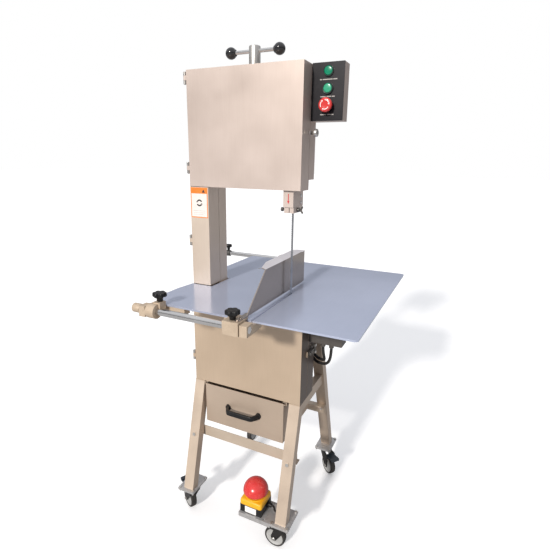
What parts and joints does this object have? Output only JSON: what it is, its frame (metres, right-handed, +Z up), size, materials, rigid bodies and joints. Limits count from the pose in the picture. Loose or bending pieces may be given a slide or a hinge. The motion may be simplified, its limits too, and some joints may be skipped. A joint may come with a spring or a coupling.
{
  "type": "bone saw",
  "caption": "Floor-standing butcher's band saw with hinged doors, sliding blade guard, rail-mounted fence, waste drawer, foot stop and braked casters.",
  "frame": {"origin": "centre of the bounding box at floor level, under the casters", "axes": "+Z up, +X to the right of an operator who stands on the -Y side and faces +Y; the doors, fence rod and drawer are on the -Y side"},
  "size_m": [0.8, 0.775, 1.605],
  "materials": {
    "brushed_steel": "satin brushed stainless sheet",
    "table_steel": "polished stainless plate",
    "fence_steel": "brushed stainless",
    "cast_bracket": "pale painted casting",
    "bright_steel": "bright turned steel",
    "wheel_iron": "machined and painted casting",
    "blade_steel": "bright rolled strip",
    "motor_paint": "grey enamel",
    "insert_plastic": "white plastic",
    "panel_black": "black",
    "box_dark": "dark grey",
    "red_plastic": "gloss",
    "yellow_plastic": "gloss",
    "green_plastic": "gloss",
    "light_green_plastic": "gloss",
    "black_plastic": "moulded",
    "lead_rubber": "black sheath",
    "caster_steel": "black coated",
    "caster_tread": "grey elastomer"
  },
  "bodies": {
    "frame": {"head_casing": "brushed_steel", "column_casing": "brushed_steel", "body_casing": "brushed_steel", "table_top": "table_steel", "table_insert": "insert_plastic", "front_left_leg": "brushed_steel", "front_right_leg": "brushed_steel", "rear_left_leg": "brushed_steel", "rear_right_leg": "brushed_steel", "cross_bars": "brushed_steel", "side_rails": "brushed_steel", "foot_switch_tray": "brushed_steel", "foot_switch_base": "black_plastic", "foot_switch_cover": "yellow_plastic", "control_box": "brushed_steel", "control_panel": "panel_black", "hinge_pins": "bright_steel", "motor": "motor_paint", "terminal_box": "box_dark", "power_leads": "lead_rubber", "saw_blade": "blade_steel", "front_rail": "bright_steel", "rear_rail": "bright_steel", "rail_brackets": "cast_bracket", "drawer_runners": "brushed_steel", "fasteners": "bright_steel"},
    "foot_stop": {"foot_stop_mushroom": "red_plastic"},
    "start_push": {"start_button": "green_plastic"},
    "second_push": {"second_button": "light_green_plastic"},
    "panel_stop": {"panel_stop_button": "red_plastic"},
    "carriage": {"wheel_carriage": "bright_steel"},
    "upper_wheel": {"upper_wheel": "wheel_iron"},
    "tension": {"tension_handle": "bright_steel"},
    "lower_wheel": {"lower_wheel": "wheel_iron"},
    "guard": {"blade_guard": "brushed_steel"},
    "wing_bolt": {"guide_wing_bolt": "bright_steel"},
    "collar": {"stop_collar": "cast_bracket"},
    "collar_knob": {"stop_knob": "black_plastic"},
    "fence": {"fence": "fence_steel", "fence_block": "cast_bracket"},
    "fence_knob": {"fence_knob": "black_plastic"},
    "drawer": {"drawer": "brushed_steel", "drawer_handle": "black_plastic"},
    "head_door": {"head_door": "brushed_steel"},
    "column_door": {"column_door": "brushed_steel"},
    "body_door": {"body_door": "brushed_steel"},
    "door_latch": {"door_latch_knob": "bright_steel"},
    "side_latch": {"toggle_latch": "bright_steel"},
    "caster_fl": {"caster_fork_fl": "caster_steel"},
    "wheel_fl": {"caster_wheel_fl": "caster_tread"},
    "brake_fl": {"caster_brake_fl": "black_plastic"},
    "caster_fr": {"caster_fork_fr": "caster_steel"},
    "wheel_fr": {"caster_wheel_fr": "caster_tread"},
    "brake_fr": {"caster_brake_fr": "black_plastic"},
    "caster_rl": {"caster_fork_rl": "caster_steel"},
    "wheel_rl": {"caster_wheel_rl": "caster_tread"},
    "brake_rl": {"caster_brake_rl": "black_plastic"},
    "caster_rr": {"caster_fork_rr": "caster_steel"},
    "wheel_rr": {"caster_wheel_rr": "caster_tread"},
    "brake_rr": {"caster_brake_rr": "black_plastic"}
  },
  "joints": [
    {"name": "head_door_hinge", "type": "hinge", "parent": "frame", "child": "head_door", "pos_m": [-0.2275, -0.1135, 1.38], "axis": [0, 0, -1], "range_deg": [0, 110]},
    {"name": "column_door_hinge", "type": "hinge", "parent": "frame", "child": "column_door", "pos_m": [-0.2275, -0.1135, 1.022], "axis": [0, 0, -1], "range_deg": [0, 110]},
    {"name": "body_door_hinge", "type": "hinge", "parent": "frame", "child": "body_door", "pos_m": [-0.2315, -0.1135, 0.7], "axis": [0, 0, -1], "range_deg": [0, 110]},
    {"name": "door_latch_turn", "type": "hinge", "parent": "head_door", "child": "door_latch", "pos_m": [0.158, -0.0665, 1.356], "axis": [1, 0, 0], "range_deg": [0, 90]},
    {"name": "side_latch_swing", "type": "hinge", "parent": "frame", "child": "side_latch", "pos_m": [0.187, -0.0205, 0.681], "axis": [0, 0, 1], "range_deg": [0, 55]},
    {"name": "tension_turn", "type": "hinge", "parent": "frame", "child": "tension", "pos_m": [-0.032, -0.0355, 1.5], "axis": [0, 0, 1], "range_deg": [0, 1080]},
    {"name": "carriage_slide", "type": "slide", "parent": "frame", "child": "carriage", "axis": [0, 0, -1], "range_m": [0, 0.0125]},
    {"name": "upper_wheel_spin", "type": "hinge", "parent": "carriage", "child": "upper_wheel", "pos_m": [-0.032, -0.0725, 1.366], "axis": [0, 1, 0], "continuous": true},
    {"name": "lower_wheel_spin", "type": "hinge", "parent": "frame", "child": "lower_wheel", "pos_m": [-0.032, -0.0725, 0.676], "axis": [0, 1, 0], "continuous": true},
    {"name": "guard_slide", "type": "slide", "parent": "frame", "child": "guard", "axis": [0, 0, -1], "range_m": [0, 0.135]},
    {"name": "wing_bolt_turn", "type": "hinge", "parent": "guard", "child": "wing_bolt", "pos_m": [0.138, -0.0725, 1.139], "axis": [1, 0, 0], "range_deg": [0, 180]},
    {"name": "collar_slide", "type": "slide", "parent": "frame", "child": "collar", "axis": [1, 0, 0], "range_m": [0, 0.09]},
    {"name": "collar_knob_turn", "type": "hinge", "parent": "collar", "child": "collar_knob", "pos_m": [-0.172, -0.3465, 0.89], "axis": [0, 0, 1], "range_deg": [0, 360]},
    {"name": "fence_slide", "type": "slide", "parent": "frame", "child": "fence", "axis": [1, 0, 0], "range_m": [-0.12, 0]},
    {"name": "fence_knob_turn", "type": "hinge", "parent": "fence", "child": "fence_knob", "pos_m": [0.08, -0.3665, 0.89], "axis": [0, 0, 1], "range_deg": [0, 360]},
    {"name": "drawer_slide", "type": "slide", "parent": "frame", "child": "drawer", "axis": [0, -1, 0], "range_m": [0, 0.18]},
    {"name": "start_press", "type": "slide", "parent": "frame", "child": "start_push", "axis": [0, 1, 0], "range_m": [0, 0.004], "stiffness_N_per_m": 600},
    {"name": "second_press", "type": "slide", "parent": "frame", "child": "second_push", "axis": [0, 1, 0], "range_m": [0, 0.004], "stiffness_N_per_m": 600},
    {"name": "panel_stop_press", "type": "slide", "parent": "frame", "child": "panel_stop", "axis": [0, 1, 0], "range_m": [0, 0.005], "stiffness_N_per_m": 900},
    {"name": "foot_stop_press", "type": "slide", "parent": "frame", "child": "foot_stop", "axis": [0, 0, -1], "range_m": [0, 0.008], "stiffness_N_per_m": 1500, "springref_m": -0.003},
    {"name": "swivel_fl", "type": "hinge", "parent": "frame", "child": "caster_fl", "pos_m": [-0.212, -0.1805, 0.105], "axis": [0, 0, 1], "continuous": true},
    {"name": "roll_fl", "type": "hinge", "parent": "caster_fl", "child": "wheel_fl", "pos_m": [-0.23798, -0.1655, 0.0375], "axis": [-0.5, -0.866, 0], "continuous": true},
    {"name": "brake_press_fl", "type": "hinge", "parent": "caster_fl", "child": "brake_fl", "pos_m": [-0.24404, -0.162, 0.084], "axis": [-0.5, -0.866, 0], "range_deg": [0, 12]},
    {"name": "swivel_fr", "type": "hinge", "parent": "frame", "child": "caster_fr", "pos_m": [0.159, -0.1805, 0.105], "axis": [0, 0, 1], "continuous": true},
    {"name": "roll_fr", "type": "hinge", "parent": "caster_fr", "child": "wheel_fr", "pos_m": [0.129, -0.1805, 0.0375], "axis": [0, -1, 0], "continuous": true},
    {"name": "brake_press_fr", "type": "hinge", "parent": "caster_fr", "child": "brake_fr", "pos_m": [0.122, -0.1805, 0.084], "axis": [0, -1, 0], "range_deg": [0, 12]},
    {"name": "swivel_rl", "type": "hinge", "parent": "frame", "child": "caster_rl", "pos_m": [-0.212, 0.2575, 0.105], "axis": [0, 0, 1], "continuous": true},
    {"name": "roll_rl", "type": "hinge", "parent": "caster_rl", "child": "wheel_rl", "pos_m": [-0.212, 0.2875, 0.0375], "axis": [-1, 0, 0], "continuous": true},
    {"name": "brake_press_rl", "type": "hinge", "parent": "caster_rl", "child": "brake_rl", "pos_m": [-0.212, 0.2945, 0.084], "axis": [-1, 0, 0], "range_deg": [0, 12]},
    {"name": "swivel_rr", "type": "hinge", "parent": "frame", "child": "caster_rr", "pos_m": [0.159, 0.2575, 0.105], "axis": [0, 0, 1], "continuous": true},
    {"name": "roll_rr", "type": "hinge", "parent": "caster_rr", "child": "wheel_rr", "pos_m": [0.18198, 0.23822, 0.0375], "axis": [0.6428, 0.766, 0], "continuous": true},
    {"name": "brake_press_rr", "type": "hinge", "parent": "caster_rr", "child": "brake_rr", "pos_m": [0.18734, 0.23372, 0.084], "axis": [0.6428, 0.766, 0], "range_deg": [0, 12]}
  ],
  "couplings": [
    {"joint": "carriage_slide", "follows": "tension_turn", "m_per_rad": 0.00063662},
    {"joint": "upper_wheel_spin", "follows": "lower_wheel_spin", "ratio": 1}
  ]
}
